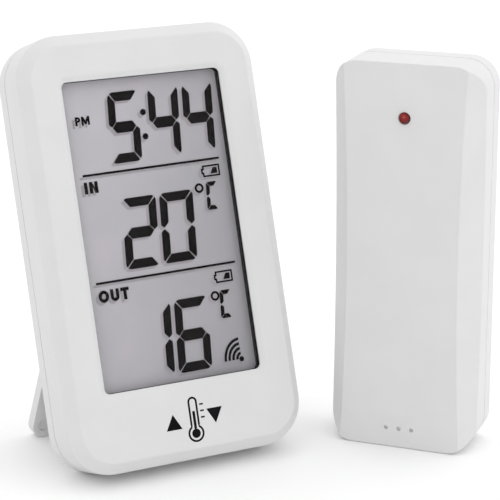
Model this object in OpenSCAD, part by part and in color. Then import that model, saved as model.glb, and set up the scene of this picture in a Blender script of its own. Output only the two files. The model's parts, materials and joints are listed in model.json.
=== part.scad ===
// Digital maximum minimum thermometer: a leaning display console and its wireless remote sensor.
// Millimetres, +Z up. The origin is the middle of the strip that the console stands on.
// Each unit is drawn in its own upright frame: x across, z up its face, and depth counted
// forward from its rear plane, which is y = 0, so that a point at depth c has y = -c.

/* [Console] */
// Width of the display console
console_w = 62.8; // [60:0.2:70]
// Height of the console along its face
console_h = 107; // [106:0.2:112]
// Depth of the console without the battery hump
console_d = 16.5; // [16.5:0.1:18]
// Radius of the console's outer corners
console_r = 11; // [10:0.5:12]
// Width of the bevel round the face
bevel_w = 2.8; // [2:0.1:3]
// Depth of the bevel round the face
bevel_d = 2.7; // [2:0.1:3]
// Depth of the parting line, from the rear plane
seam_c = 4.9; // [4.5:0.1:5.2]
// Angle that the console leans back from upright
lean = 17.76; // [14:0.01:20]

/* [Display] */
// Width of the window opening
window_w = 42; // [38:0.5:42]
// Height of the window opening
window_h = 75.8; // [72:0.1:75.8]
// Height of the window's lower edge up the face
window_b = 19.5; // [19.5:0.1:21]
// Depth of the LCD below the face
lcd_depth = 3.3; // [3.2:0.1:3.4]

/* [Stand] */
// Height of the stand's hinge up the rear
hinge_b = 72; // [71:0.1:72]
// Angle between the open stand and the rear plane
stand_open = 20.8; // [18:0.1:26]
// Half width of the stand at its hinge
stand_top_hw = 13; // [12:0.5:13]
// Half width of the stand at its foot
stand_foot_hw = 27.8; // [20:0.2:28]

/* [Sensor] */
// Width of the remote sensor
sensor_w = 38.3; // [38:0.1:42]
// Height of the remote sensor
sensor_h = 99; // [98:0.5:104]
// Depth of the remote sensor
sensor_d = 16.8; // [16.6:0.1:18]
// Radius of the sensor's outline corners
sensor_r = 7; // [5:0.5:7]
// Depth of the sensor's parting line
sensor_seam = 5; // [4.5:0.1:5.5]
// Middle of the sensor's rear edge on the table, beside the console
sensor_at = [65.8, -9.9, 0];
// Turn of the sensor towards the console
sensor_turn = -47.9; // [-60:0.1:-40]

/* [Hidden] */
$fn = 64;
eps = 0.01;
big = 200;
wall = 1.8;
face_wall = 2;
gap = 0.3;         // clearance between separate moving bodies
seam_gap = 0.16;    // between the halves of a case
running = 0.05;    // radial clearance of the stand's pins
strip_w = 3;       // width of the flat strip that the console stands on
rear_bevel = 0.8;

// Display stack, as depths from the rear plane
lcd_front = console_d - lcd_depth;
lcd_t = 1.6;
lcd_back = lcd_front - lcd_t;
face_in = console_d - face_wall;
lip_t = 1.1;
lens_t = 1.1;
lens_margin = 1.3;
lens_back = console_d - lip_t - lens_t;
glass_margin = 2.4;
board_t = 1.6;
board_front = lcd_back - 1;
board_back = board_front - board_t;
board_b = [10.5, 68.3];
board_hw = 28;

// Fasteners of the console
case_screw_at = [[-24.7, 6.4], [24.7, 6.4], [-26.8, 72.4], [26.8, 72.4]];
board_screw_at = [[-26.4, 16], [26.4, 16], [-26.4, 38], [26.4, 38]];

// Rear buttons: two on each side of the stand
button_x = 23.2;
button_b = [62, 50];
button_size = [7.6, 4.6];
button_tip = 4;      // depth of the inner end of a button
button_travel = 0.8;

// AAA cells
cell_r = 5.25;
cell_l = 44.5;
nub_r = 1.9;
nub_l = 1;
spring_l = 4;

// Battery hump of the console
hump = 3.8;
hump_b = [76, 102.6];
hump_hw = 27.4;
bay_hw = 25.1;
bay_b = [78.4, 101];
bay_floor = 8.6;
bay_cell_c = 3.25;
bay_cell_b = [84.05, 95.35];
door_hw = 24.4;
door_t = 1.5;
door_b = 79.3;
tongue = [1.2, 0.6];

// Stand
stand_t = 3.4;
axis_y = 2.1;
pin_r = 1;
barrel_r = 1.9;
// Height of the hinge over the table, and the length that reaches the table when open
hinge_z = (hinge_b - strip_w * sin(lean) / 2) * cos(lean)
    - (axis_y + strip_w * cos(lean) / 2) * sin(lean);
stand_l = hinge_z / cos(stand_open - lean) + 0.35;
stand_neck = 4;      // straight stretch below the hinge, clear of the ears
stand_rim = 1.9;
stand_skin = 1.5;
stand_foot_r = 3.2;
stand_rib_s = 57;
stand_dimple = [24, 64]; // from the middle, and down from the hinge
stand_dimple_r = [1.5, 0.5];     // radius and depth
ear_t = 2;

// Sensor
waist_in = 4.8;       // inset of the side chamfer at mid height
waist_d = 5.9;        // depth of the side chamfer at mid height
waist_sag = 1.09;     // how much shallower the chamfer is at the ends
led_b = 85.5;
vent_b = 5.05;
vent_step = 3.35;
vent_r = 0.55;
vent_depth = 0.6;
s_board_b = [65, 94.5];
s_board_hw = 16.4;
s_board_c = [8.2, 9.4];
s_bay_hw = 11.2;
s_bay_b = [9.6, 60.6];
s_bay_floor = 12.4;
s_cell_c = 7.05;
s_door_hw = 11.6;
s_door_t = 1.4;
s_door_top = 62;
s_door_axis_b = 1;
s_door_pin_r = 0.5;
s_door_pin_l = 0.6;
s_backing_c = 3;
s_screw_at = [[-14.6, 6.8], [14.6, 6.8], [-14.6, 62.2], [14.6, 62.2]];
s_board_screw_at = [[-13, 90.5], [13, 90.5]];
key_b = 80;
key_r = 3.4;
key_slot_r = 1.7;
key_rise = 7;
channel_b = 70.5;
channel_x = 6;
channel_travel = 4;
link_x = -8;
link_tip = 3.9;
link_travel = 0.5;
switch_slack = 0.2;  // play between a button and the plunger of its switch

white_front = [0.93, 0.93, 0.93];
white_rear = [0.9, 0.9, 0.9];
board_green = [0.1, 0.35, 0.2];

// ---- Placing ----

// Leans an upright console piece back onto the table
module in_console() {
    rotate([-lean, 0, 0])
        translate([0, strip_w * cos(lean) / 2, -strip_w * sin(lean) / 2])
            children();
}

// Stands an upright sensor piece on the table beside the console
module in_sensor() {
    translate(sensor_at) rotate([0, 0, sensor_turn]) children();
}

// ---- Shapes ----

// A 2D shape in x and z, made solid from depth c0 to c1
module slab(c0, c1) {
    translate([0, -c0, 0]) rotate([90, 0, 0]) linear_extrude(c1 - c0) children();
}

// A round post or hole along the depth
module post(x, b, c0, c1, r) {
    translate([x, -c0, b]) rotate([90, 0, 0]) cylinder(h = c1 - c0, r = r);
}

// A box from x0 to x1, depth c0 to c1 and height b0 to b1
module block(x, c, b) {
    translate([x[0], -c[1], b[0]]) cube([x[1] - x[0], c[1] - c[0], b[1] - b[0]]);
}

// 2D rounded rectangle, centred across and standing on b0
module rounded(w, b0, b1, r) {
    translate([-w / 2 + r, b0]) square([w - 2 * r, b1 - b0]);
    translate([-w / 2, b0 + r]) square([w, b1 - b0 - 2 * r]);
    for (x = [-1, 1], b = [b0 + r, b1 - r]) translate([x * (w / 2 - r), b]) circle(r);
}

// Rounded slab whose outline is inset by i0 at depth c0 and by i1 at depth c1
module tapered_slab(w, h, r, c0, c1, i0, i1) {
    for (x = [-1, 1], b = [r, h - r])
        translate([x * (w / 2 - r), -c0, b])
            rotate([90, 0, 0]) cylinder(h = c1 - c0, r1 = r - i0, r2 = r - i1);
    translate([r - w / 2, 0, 0]) rotate([90, 0, 90]) linear_extrude(w - 2 * r)
        polygon([[-c0, i0], [-c1, i1], [-c1, h - i1], [-c0, h - i0]]);
    translate([0, 0, r]) linear_extrude(h - 2 * r)
        polygon([[i0 - w / 2, -c0], [w / 2 - i0, -c0], [w / 2 - i1, -c1], [i1 - w / 2, -c1]]);
}

// Screw along the depth: pan head at c0, shank forward to c1
module screw(x, b, c0, c1, head_r, shank_r) {
    head_t = 1.3;
    difference() {
        union() {
            post(x, b, c0, c0 + head_t, head_r);
            post(x, b, c0 + head_t - eps, c1, shank_r);
        }
        for (turn = [0, 90])
            translate([x, -c0, b]) rotate([90, turn, 0])
                translate([-head_r * 0.65, -0.25, -eps]) cube([head_r * 1.3, 0.5, 0.7]);
    }
}

// AAA cell with its positive nub, lying along +x from the origin
module cell() {
    rotate([0, 90, 0]) {
        cylinder(h = cell_l - nub_l, r = cell_r);
        cylinder(h = cell_l, r = nub_r);
    }
}

// Point of a coil at turn t, and one ring of the wire round it
function coil_point(t, r, pitch) = [t * pitch, r * cos(360 * t), r * sin(360 * t)];
function coil_ring(t, r, pitch, wire_r, sides) = [
    for (k = [0 : sides - 1])
        let (a = 360 * k / sides, p = coil_point(t, r, pitch))
        [p[0] + wire_r * sin(a), p[1] + wire_r * cos(a) * cos(360 * t),
            p[2] + wire_r * cos(a) * sin(360 * t)]
];

// Open wire coil along +x
module coil(r, length, turns, wire_r) {
    sides = 6;
    steps = turns * 12;
    points = [
        for (i = [0 : steps])
            each coil_ring(i * turns / steps, r, (length - 2 * wire_r) / turns, wire_r, sides)
    ];
    faces = [
        [for (k = [0 : sides - 1]) k],
        [for (k = [sides - 1 : -1 : 0]) steps * sides + k],
        for (i = [0 : steps - 1], k = [0 : sides - 1])
            [i * sides + k, (i + 1) * sides + k,
                (i + 1) * sides + (k + 1) % sides, i * sides + (k + 1) % sides]
    ];
    translate([wire_r, 0, 0]) polyhedron(points, faces, convexity = 6);
}

// ---- Console casing ----

module console_cavity(c0, c1) {
    slab(c0, c1) rounded(console_w - 2 * wall, wall, console_h - wall, console_r - wall);
}

module window_outline(margin, r) {
    rounded(window_w + 2 * margin, window_b - margin, window_b + window_h + margin, r);
}

module front_case() color(white_front) in_console() {
    bevel_c = console_d - bevel_d;
    difference() {
        union() {
            slab(seam_c + seam_gap / 2, bevel_c) rounded(console_w, 0, console_h, console_r);
            tapered_slab(console_w, console_h, console_r, bevel_c - eps, console_d, 0, bevel_w);
        }
        difference() {
            console_cavity(seam_c, face_in);
            for (p = case_screw_at) post(p[0], p[1], 6.2, face_in + 1, 2.2);
            for (p = board_screw_at) post(p[0], p[1], board_front, face_in + 1, 1.8);
        }
        slab(face_in - 1, console_d + 1) window_outline(0, 1.4);
        slab(face_in - 1, console_d - lip_t) window_outline(lens_margin + 0.1, 1.6);
        for (p = case_screw_at) post(p[0], p[1], 6, 13, 1.05);
        for (p = board_screw_at) post(p[0], p[1], board_front - 1, face_in - 0.5, 0.8);
    }
}

module hump_door_cut() {
    block([-door_hw - gap, door_hw + gap], [-hump - 1, door_t - hump + gap],
        [door_b - gap, hump_b[1] + 1]);
    block([-door_hw - tongue[0] - gap, door_hw + tongue[0] + gap],
        [door_t - hump - tongue[1] - gap, door_t - hump + gap], [door_b - gap, hump_b[1] + 1]);
}

module stand_ear(side) {
    x0 = side * (stand_top_hw + gap + ear_t / 2) - ear_t / 2;
    translate([x0, axis_y, hinge_b]) rotate([0, 90, 0]) cylinder(h = ear_t, r = 2);
    block([x0, x0 + ear_t], [-axis_y, 0.5], [hinge_b - 2, hinge_b + 2]);
}

module rear_vents() {
    for (i = [-2 : 2])
        slab(-1, wall + 1) translate([0, 11 + 2.6 * (i + 2)]) square([14, 1.2], center = true);
}

module rear_case() color(white_rear) difference() {
    in_console() difference() {
        union() {
            difference() {
                union() {
                    tapered_slab(console_w, console_h, console_r, 0, rear_bevel, rear_bevel, 0);
                    slab(rear_bevel - eps, seam_c - seam_gap / 2)
                        rounded(console_w, 0, console_h, console_r);
                    slab(seam_c - 1, seam_c + 1.2) rounded(console_w - 2 * wall - 0.2,
                        wall + 0.1, console_h - wall - 0.1, console_r - wall - 0.1);
                }
                slab(wall, seam_c + 2) rounded(console_w - 2 * wall - 2, wall + 1,
                    console_h - wall - 1, console_r - wall - 1);
            }
            slab(-hump, 0.5) rounded(2 * hump_hw, hump_b[0], hump_b[1], 3);
            block([-bay_hw - 1.1, bay_hw + 1.1], [0, bay_floor + 1],
                [bay_b[0] - 1.1, bay_b[1] + 0.6]);
            for (p = case_screw_at) {
                post(p[0], p[1], 1, 4.5, 3);
                post(p[0], p[1], 1, 5.9, 2.3);
            }
            for (side = [-1, 1]) stand_ear(side);
        }
        block([-bay_hw, bay_hw], [-hump - 1, bay_floor], bay_b);
        hump_door_cut();
        for (p = case_screw_at) {
            post(p[0], p[1], -1, 3.4, 2.1);
            post(p[0], p[1], 3, 7, 1.3);
        }
        for (x = [-button_x, button_x], b = button_b)
            slab(-1, wall + 1) translate([x, b]) stadium(button_size + [2 * gap, 2 * gap]);
        translate([-big / 2, axis_y, hinge_b]) rotate([0, 90, 0])
            cylinder(h = big, r = pin_r + running);
        rear_vents();
    }
    translate([-big / 2, -big / 2, -big]) cube(big);
}

// 2D slot shape of a given length and height
module stadium(size) {
    square([size[0] - size[1], size[1]], center = true);
    for (x = [-1, 1]) translate([x * (size[0] - size[1]) / 2, 0]) circle(size[1] / 2);
}

module case_screws() color("silver") in_console()
    for (p = case_screw_at) screw(p[0], p[1], 2.1, 12.5, 2, 1.05);

// ---- Console display ----

module display_window() color([0.85, 0.9, 0.92, 0.35]) in_console()
    slab(lens_back, lens_back + lens_t) window_outline(lens_margin, 1.5);

module lcd_gasket() color("black") in_console() difference() {
    slab(lcd_front, lens_back) window_outline(lens_margin, 1.5);
    slab(lcd_front - 1, lens_back + 1) window_outline(0, 1.2);
}

module lcd_panel() color([0.72, 0.7, 0.72]) in_console()
    slab(lcd_back, lcd_front) window_outline(glass_margin, 0.4);

module lcd_holder() color(white_rear) in_console() difference() {
    slab(board_front, face_in) window_outline(glass_margin + 1, 1);
    slab(board_front - 1, lcd_front) window_outline(glass_margin + 0.1, 0.4);
    slab(lcd_front - 1, face_in + 1) window_outline(lens_margin + 0.3, 1.6);
}

module zebra_strip() color("dimgray") in_console()
    block([-20, 20], [board_front, lcd_back], [window_b - 2.2, window_b - 0.2]);

// ---- Console electronics ----

module main_board() color(board_green) in_console() difference() {
    slab(board_back, board_front) rounded(2 * board_hw, board_b[0], board_b[1], 1);
    for (p = board_screw_at) post(p[0], p[1], board_back - 1, board_front + 1, 1.1);
}

module chip_blob() color([0.05, 0.05, 0.05]) in_console() {
    post(0, 34, board_back - 1, board_back, 6);
    translate([0, 1 - board_back, 34]) rotate([-90, 0, 0]) cylinder(h = 0.6, r1 = 6, r2 = 4);
}

module clock_crystal() color("silver") in_console() {
    translate([9, 1.2 - board_back, 40]) cylinder(h = 6, r = 1);
    for (x = [8.7, 9.3])
        translate([x, 1.2 - board_back, 38]) cylinder(h = 2, r = 0.15);
    block([8, 10], [board_back - 0.4, board_back], [41, 45]);
}

module receiver_module() color(board_green) in_console() {
    block([-12, 12], [board_back - 2, board_back - 1], [52, 64]);
    for (x = [-10 : 4 : 10]) block([x - 0.3, x + 0.3], [board_back - 1, board_back], [53, 54]);
    block([-4, 5], [board_back - 3.4, board_back - 2], [55, 62]);
}

module receiver_antenna() color([0.75, 0.4, 0.2]) in_console()
    translate([12, 2.1 - board_back, 58]) coil(1.5, 7.6, 6, 0.3);

module indoor_probe() color([0.2, 0.25, 0.2]) in_console() {
    translate([0, 4 - board_back, 12]) sphere(r = 1.1);
    for (x = [-0.5, 0.5]) translate([x, 4 - board_back, 12]) rotate([90, 0, 0])
        cylinder(h = 4, r = 0.22);
}

// Tactile switch with its plunger, on a board face at depth c, pointing to the rear
module tact_switch(x, b, c, tip_c) {
    block([x - 3, x + 3], [c - 3.4, c], [b - 3, b + 3]);
    post(x, b, tip_c, c - 3.4 + eps, 1.5);
}

module button_switches() color("dimgray") in_console()
    for (x = [-button_x, button_x], b = button_b)
        tact_switch(x, b, board_back, button_tip + button_travel + switch_slack);

module board_screws() color("silver") in_console()
    for (p = board_screw_at) screw(p[0], p[1], board_back - 1.3, face_in - 1, 1.6, 0.8);

// ---- Console power ----

module batteries() color([0.25, 0.3, 0.35]) in_console() {
    translate([-bay_hw + 0.5 + spring_l, -bay_cell_c, bay_cell_b[0]]) cell();
    translate([bay_hw - 0.5 - spring_l, -bay_cell_c, bay_cell_b[1]]) mirror([1, 0, 0]) cell();
}

module battery_springs() color("silver") in_console() {
    translate([-bay_hw + 0.5, -bay_cell_c, bay_cell_b[0]]) coil(3, spring_l, 3, 0.35);
    translate([bay_hw - 0.5, -bay_cell_c, bay_cell_b[1]]) mirror([1, 0, 0])
        coil(3, spring_l, 3, 0.35);
}

module battery_plates() color("gold") in_console() for (x = [-bay_hw, bay_hw - 0.5])
    block([x, x + 0.5], [bay_cell_c - 4.5, bay_cell_c + 4.5], [bay_b[0] + 1, bay_b[1] - 1]);

module battery_door() color(white_rear) in_console() difference() {
    union() {
        slab(-hump, door_t - hump)
            translate([-door_hw, door_b]) square([2 * door_hw, hump_b[1] - door_b]);
        block([-door_hw - tongue[0], door_hw + tongue[0]],
            [door_t - hump - tongue[1], door_t - hump], [door_b + 1, hump_b[1] - 3]);
    }
    for (i = [0 : 4])
        block([-6, 6], [-hump - 1, 0.4 - hump], [door_b + 3 + 1.6 * i, door_b + 3.8 + 1.6 * i]);
}

// ---- Console stand ----

// Each side of the stand is straight below the hinge, then widens to a round corner at the foot
module stand_outline(inset) {
    slope = atan((stand_foot_hw - stand_top_hw) / (stand_l - stand_neck));
    r = stand_foot_r - inset;
    corner_x = stand_foot_hw - inset - r * tan(slope) - r / cos(slope);
    corner_z = inset + r - stand_l;
    for (x = [-1, 1]) translate([x * corner_x, corner_z]) circle(r);
    polygon([
        for (side = [1, -1])
            let (edge = [
                [side * (stand_top_hw - inset), 0],
                [side * (stand_top_hw - inset), -stand_neck],
                [side * (corner_x + r * cos(slope)), corner_z + r * sin(slope)],
                [side * corner_x, inset - stand_l],
            ])
            each side > 0 ? edge : [for (i = [3 : -1 : 0]) edge[i]]
    ]);
}

// The stand lying flat behind the console, hinge axis at the origin
module folded_stand() {
    difference() {
        slab(-stand_t / 2, stand_t / 2) stand_outline(0);
        difference() {
            slab(-stand_t, stand_t / 2 - stand_skin) intersection() {
                stand_outline(stand_rim);
                translate([0, -stand_l / 2 - 6]) square([big, stand_l], center = true);
            }
            block([-big / 2, big / 2], [-stand_t, stand_t],
                [-stand_rib_s - 0.8, -stand_rib_s + 0.8]);
        }
        for (x = [-1, 1])
            post(x * stand_dimple[0], -stand_dimple[1], stand_t / 2 - stand_dimple_r[1],
                stand_t, stand_dimple_r[0]);
    }
    translate([-stand_top_hw, 0, 0]) rotate([0, 90, 0])
        cylinder(h = 2 * stand_top_hw, r = barrel_r);
    pin_l = 2 * (stand_top_hw + gap + ear_t) - 0.3;
    translate([-pin_l / 2, 0, 0]) rotate([0, 90, 0]) cylinder(h = pin_l, r = pin_r);
}

module stand() color(white_rear) difference() {
    in_console() translate([0, axis_y, hinge_b]) {
        rotate([stand_open, 0, 0]) folded_stand();
        // Heel that meets the rear case when the stand is fully open
        block([-6, 6], [0, axis_y - 0.05], [0, 2.6]);
    }
    translate([-big / 2, -big / 2, -big]) cube(big);
}

// ---- Console buttons ----

module rear_button(x, b) color(white_rear) in_console() translate([x, 0, b]) {
    slab(-0.9, button_tip) stadium(button_size);
    slab(wall + gap, wall + gap + 0.8) stadium(button_size + [1.6, 1.6]);
}

module memory_button() rear_button(button_x, button_b[0]);
module clock_button() rear_button(-button_x, button_b[0]);
module unit_button() rear_button(button_x, button_b[1]);
module channel_button() rear_button(-button_x, button_b[1]);

// ---- Sensor casing ----

// Large round cutter that leaves the waisted chamfer along one side of the sensor
module waist_cutter(side) {
    run = norm([waist_in, waist_d]);
    tilt = atan2(waist_in, waist_d);
    r = pow(sensor_h / 2, 2) / (2 * waist_sag);
    mirror([side < 0 ? 1 : 0, 0, 0])
        translate([sensor_w / 2, waist_d - sensor_d, sensor_h / 2])
            rotate([90, 0, 0]) rotate([0, -tilt, 0]) translate([r, 0, -20])
                cylinder(h = run + 40, r = r, $fn = 720);
}

module sensor_front_case() color(white_front) in_sensor() difference() {
    slab(sensor_seam + seam_gap / 2, sensor_d) rounded(sensor_w, 0, sensor_h, sensor_r);
    for (side = [-1, 1]) waist_cutter(side);
    difference() {
        union() {
            slab(sensor_seam - 1, 9.8)
                rounded(sensor_w - 2 * wall, wall, sensor_h - wall, sensor_r - wall);
            slab(sensor_seam - 1, sensor_d - wall)
                rounded(27, wall, sensor_h - wall, sensor_r - wall);
        }
        for (p = s_screw_at) post(p[0], p[1], 6.2, 11, 2.3);
        for (p = s_board_screw_at) post(p[0], p[1], s_board_c[1], sensor_d, 1.7);
    }
    for (p = s_screw_at) post(p[0], p[1], 5, 10.6, 1.05);
    for (p = s_board_screw_at) post(p[0], p[1], s_board_c[1] - 1, 13.5, 0.8);
    post(0, led_b, 10, sensor_d + 1, 1.55);
    // Three thin spots in front of the temperature probe
    for (i = [-1 : 1])
        post(i * vent_step, vent_b, sensor_d - vent_depth, sensor_d + 1, vent_r);
}

module sensor_rear_case() color(white_rear) in_sensor() difference() {
    union() {
        difference() {
            union() {
                slab(0, sensor_seam - seam_gap / 2) rounded(sensor_w, 0, sensor_h, sensor_r);
                slab(sensor_seam - 1, sensor_seam + 1) rounded(sensor_w - 2 * wall - 0.2,
                    wall + 0.1, sensor_h - wall - 0.1, sensor_r - wall - 0.1);
            }
            slab(wall, sensor_seam + 2) rounded(sensor_w - 2 * wall - 2, wall + 1,
                sensor_h - wall - 1, sensor_r - wall - 1);
        }
        block([-s_bay_hw - 1, s_bay_hw + 1], [0, s_bay_floor + 1],
            [s_bay_b[0] - 1, s_bay_b[1] + 1]);
        block([-14, 14], [1, s_backing_c], [1, s_door_top + 1.5]);
        for (p = s_screw_at) post(p[0], p[1], 1, 5.9, 2.4);
    }
    block([-s_bay_hw, s_bay_hw], [-1, s_bay_floor], s_bay_b);
    // Seat of the door, open at the bottom edge, with a hole for a hinge pin at each side
    block([-s_door_hw - gap, s_door_hw + gap], [-1, s_door_t + gap], [-1, s_door_top + gap]);
    sensor_door_pins(running);
    // Finger notch above the door
    post(0, s_door_top + gap, -1, 0.9, 5);
    for (p = s_screw_at) {
        post(p[0], p[1], -1, 3.2, 2);
        post(p[0], p[1], 3, 7, 1.3);
    }
    // Keyhole for a wall screw
    post(0, key_b, -1, wall + 1, key_r);
    post(0, key_b + key_rise, -1, wall + 1, key_slot_r);
    block([-key_slot_r, key_slot_r], [-1, wall + 1], [key_b, key_b + key_rise]);
    // Openings of the channel switch and the link button
    slab(-1, wall + 1) translate([channel_x, channel_b])
        square([channel_travel + 2.6 + 2 * gap, 2.4 + 2 * gap], center = true);
    post(link_x, channel_b, -1, wall + 1, 1.7 + gap);
}

module sensor_case_screws() color("silver") in_sensor()
    for (p = s_screw_at) screw(p[0], p[1], 1.9, 10.4, 1.9, 1.05);

// ---- Sensor electronics ----

module sensor_led() color([0.6, 0.05, 0.05]) in_sensor() {
    post(0, led_b, 11.6, sensor_d - 0.3, 1.5);
    translate([0, 0.3 - sensor_d, led_b]) sphere(r = 1.5);
    post(0, led_b, 11.6, 12.6, 1.9);
    for (x = [-1.27, 1.27]) post(x, led_b, s_board_c[1], 11.7, 0.25);
}

module sensor_board() color(board_green) in_sensor() difference() {
    slab(s_board_c[0], s_board_c[1]) rounded(2 * s_board_hw, s_board_b[0], s_board_b[1], 2.5);
    for (p = s_board_screw_at) post(p[0], p[1], s_board_c[0] - 1, s_board_c[1] + 1, 1);
}

module sensor_chip() color([0.05, 0.05, 0.05]) in_sensor()
    post(4, 77, s_board_c[1], s_board_c[1] + 1.2, 4);

module sensor_crystal() color("silver") in_sensor() {
    block([-6, -1], [s_board_c[1], s_board_c[1] + 1.4], [66.5, 68.5]);
}

module sensor_transmitter() color(board_green) in_sensor() {
    block([-11.5, -2.5], [s_board_c[1] + 1, s_board_c[1] + 2], [70, 82]);
    for (b = [71 : 2.5 : 81])
        block([-11, -10.4], [s_board_c[1], s_board_c[1] + 1], [b - 0.3, b + 0.3]);
    block([-9, -4], [s_board_c[1] + 2, s_board_c[1] + 3], [73, 79]);
}

module sensor_antenna() color([0.75, 0.4, 0.2]) in_sensor()
    translate([2, -s_board_c[1] - 2, 92]) coil(1.3, 8, 6, 0.3);

module sensor_probe() color([0.2, 0.25, 0.2]) in_sensor() {
    translate([0, -14, vent_b]) sphere(r = 0.9);
    for (x = [-0.4, 0.4]) {
        translate([x, -14, vent_b]) cylinder(h = 62, r = 0.2);
        translate([x, -14, vent_b + 62]) rotate([-90, 0, 0])
            cylinder(h = 14 - s_board_c[1], r = 0.2);
    }
}

module sensor_switches() color("dimgray") in_sensor() {
    tact_switch(link_x, channel_b, s_board_c[0], link_tip + link_travel + switch_slack);
    block([channel_x - 5, channel_x + 5], [s_board_c[0] - 3.5, s_board_c[0]],
        [channel_b - 2.2, channel_b + 2.2]);
}

module sensor_board_screws() color("silver") in_sensor()
    for (p = s_board_screw_at) screw(p[0], p[1], s_board_c[0] - 1.3, 13, 1.6, 0.8);

// ---- Sensor power ----

module sensor_cell_pair() {
    translate([-5.45, -s_cell_c, s_bay_b[0] + 0.5 + spring_l]) rotate([0, -90, 0]) children();
    translate([5.45, -s_cell_c, s_bay_b[1] - 0.5 - spring_l]) rotate([0, 90, 0]) children();
}

module sensor_batteries() color([0.25, 0.3, 0.35]) in_sensor() sensor_cell_pair() cell();

module sensor_springs() color("silver") in_sensor() sensor_cell_pair()
    mirror([1, 0, 0]) coil(3, spring_l, 3, 0.35);

module sensor_plates() color("gold") in_sensor() for (b = [s_bay_b[0], s_bay_b[1] - 0.5])
    block([-10, 10], [s_cell_c - 4.5, s_cell_c + 4.5], [b, b + 0.5]);

// Cylinder along the hinge axis of the sensor's door
module sensor_door_bar(half_length, r) {
    translate([-half_length, -s_door_t / 2, s_door_axis_b]) rotate([0, 90, 0])
        cylinder(h = 2 * half_length, r = r);
}

// Hinge pins of the sensor's door, or their holes when given a clearance
module sensor_door_pins(clearance) {
    sensor_door_bar(s_door_hw + gap + s_door_pin_l + 2 * clearance, s_door_pin_r + clearance);
}

module sensor_door() color(white_rear) in_sensor() {
    difference() {
        block([-s_door_hw, s_door_hw], [0, s_door_t], [s_door_axis_b, s_door_top]);
        for (i = [0 : 4])
            block([-5, 5], [-1, 0.4], [s_door_top - 12 + 1.6 * i, s_door_top - 11.2 + 1.6 * i]);
    }
    sensor_door_bar(s_door_hw, s_door_t / 2);
    sensor_door_pins(0);
}

// ---- Sensor controls ----

module sensor_channel_knob() color("dimgray") in_sensor() {
    x = channel_x - channel_travel / 2;
    block([x - 1.3, x + 1.3], [0.2, 2.4], [channel_b - 1.2, channel_b + 1.2]);
    block([x - 0.8, x + 0.8], [2.3, s_board_c[0] - 3.5 - gap], [channel_b - 0.8, channel_b + 0.8]);
}

module sensor_link_button() color(white_rear) in_sensor() {
    post(link_x, channel_b, 0.3, link_tip, 1.7);
    post(link_x, channel_b, wall + gap, wall + gap + 0.7, 2.5);
}

front_case();
rear_case();
display_window();
lcd_gasket();
lcd_panel();
lcd_holder();
zebra_strip();
main_board();
chip_blob();
clock_crystal();
receiver_module();
receiver_antenna();
indoor_probe();
button_switches();
board_screws();
case_screws();
batteries();
battery_springs();
battery_plates();
battery_door();
stand();
memory_button();
clock_button();
unit_button();
channel_button();
sensor_front_case();
sensor_rear_case();
sensor_led();
sensor_board();
sensor_chip();
sensor_crystal();
sensor_transmitter();
sensor_antenna();
sensor_probe();
sensor_switches();
sensor_board_screws();
sensor_case_screws();
sensor_batteries();
sensor_springs();
sensor_plates();
sensor_door();
sensor_channel_knob();
sensor_link_button();
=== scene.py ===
"""Looks for the digital thermometer: a leaning display console and its upright wireless sensor."""

import json
import math

import bmesh
import bpy
from mathutils import Matrix, Vector


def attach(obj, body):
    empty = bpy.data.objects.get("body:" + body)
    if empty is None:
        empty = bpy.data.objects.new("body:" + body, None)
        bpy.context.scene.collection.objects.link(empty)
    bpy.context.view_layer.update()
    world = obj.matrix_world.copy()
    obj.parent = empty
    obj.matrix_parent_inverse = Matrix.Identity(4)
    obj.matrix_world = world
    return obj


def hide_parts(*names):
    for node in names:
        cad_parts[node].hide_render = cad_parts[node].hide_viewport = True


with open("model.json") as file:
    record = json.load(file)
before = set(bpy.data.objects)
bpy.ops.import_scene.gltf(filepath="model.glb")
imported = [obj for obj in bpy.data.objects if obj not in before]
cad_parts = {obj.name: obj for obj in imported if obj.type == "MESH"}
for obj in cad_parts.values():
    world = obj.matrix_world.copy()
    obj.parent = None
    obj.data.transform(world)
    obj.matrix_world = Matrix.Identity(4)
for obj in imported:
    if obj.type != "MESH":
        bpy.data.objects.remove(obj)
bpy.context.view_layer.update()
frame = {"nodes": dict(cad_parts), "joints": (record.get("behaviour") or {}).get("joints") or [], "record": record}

MM = 0.001
NODES = frame["nodes"]
JOINTS = {j["name"]: j for j in frame["joints"]}
MOUNTS = {m["name"]: m for m in frame["record"]["mounts"]}


# ---- The two units' own upright frames, in millimetres ----
# x runs across a unit, z up its face, and depth c forward from its rear plane, so y is -c.

HINGE_C, HINGE_B = -2.1, 72      # the stand's hinge in the console's frame
KEYHOLE_C, KEYHOLE_B = 0.9, 80   # the keyhole mount in the sensor's frame


def unit_frame(rear, up, known, known_c, known_b):
    """Matrix from a unit's millimetres to the row frame, from its axes and one known point."""
    rear, up = Vector(rear), Vector(up)
    across = rear.cross(up)
    turn = Matrix((across, rear, up)).transposed()
    origin = Vector(known) - turn @ Vector((0, -known_c, known_b)) * MM
    return Matrix.Translation(origin) @ turn.to_4x4() @ Matrix.Scale(MM, 4)


CONSOLE = unit_frame([-v for v in JOINTS["memory_button_press"]["axis"]],
                     JOINTS["battery_door_slide"]["axis"],
                     JOINTS["stand_fold"]["pos_m"], HINGE_C, HINGE_B)
SENSOR = unit_frame(MOUNTS["sensor_keyhole"]["axis"], (0, 0, 1),
                    MOUNTS["sensor_keyhole"]["pos_m"], KEYHOLE_C, KEYHOLE_B)


def local_box(unit, node):
    """Lowest and highest (x, c, b) of a CAD node in a unit's own frame, in millimetres."""
    back = unit.inverted()
    points = [back @ v.co for v in NODES[node].data.vertices]
    rows = [(p.x, -p.y, p.z) for p in points]
    return [min(r[i] for r in rows) for i in range(3)], [max(r[i] for r in rows) for i in range(3)]


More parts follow.
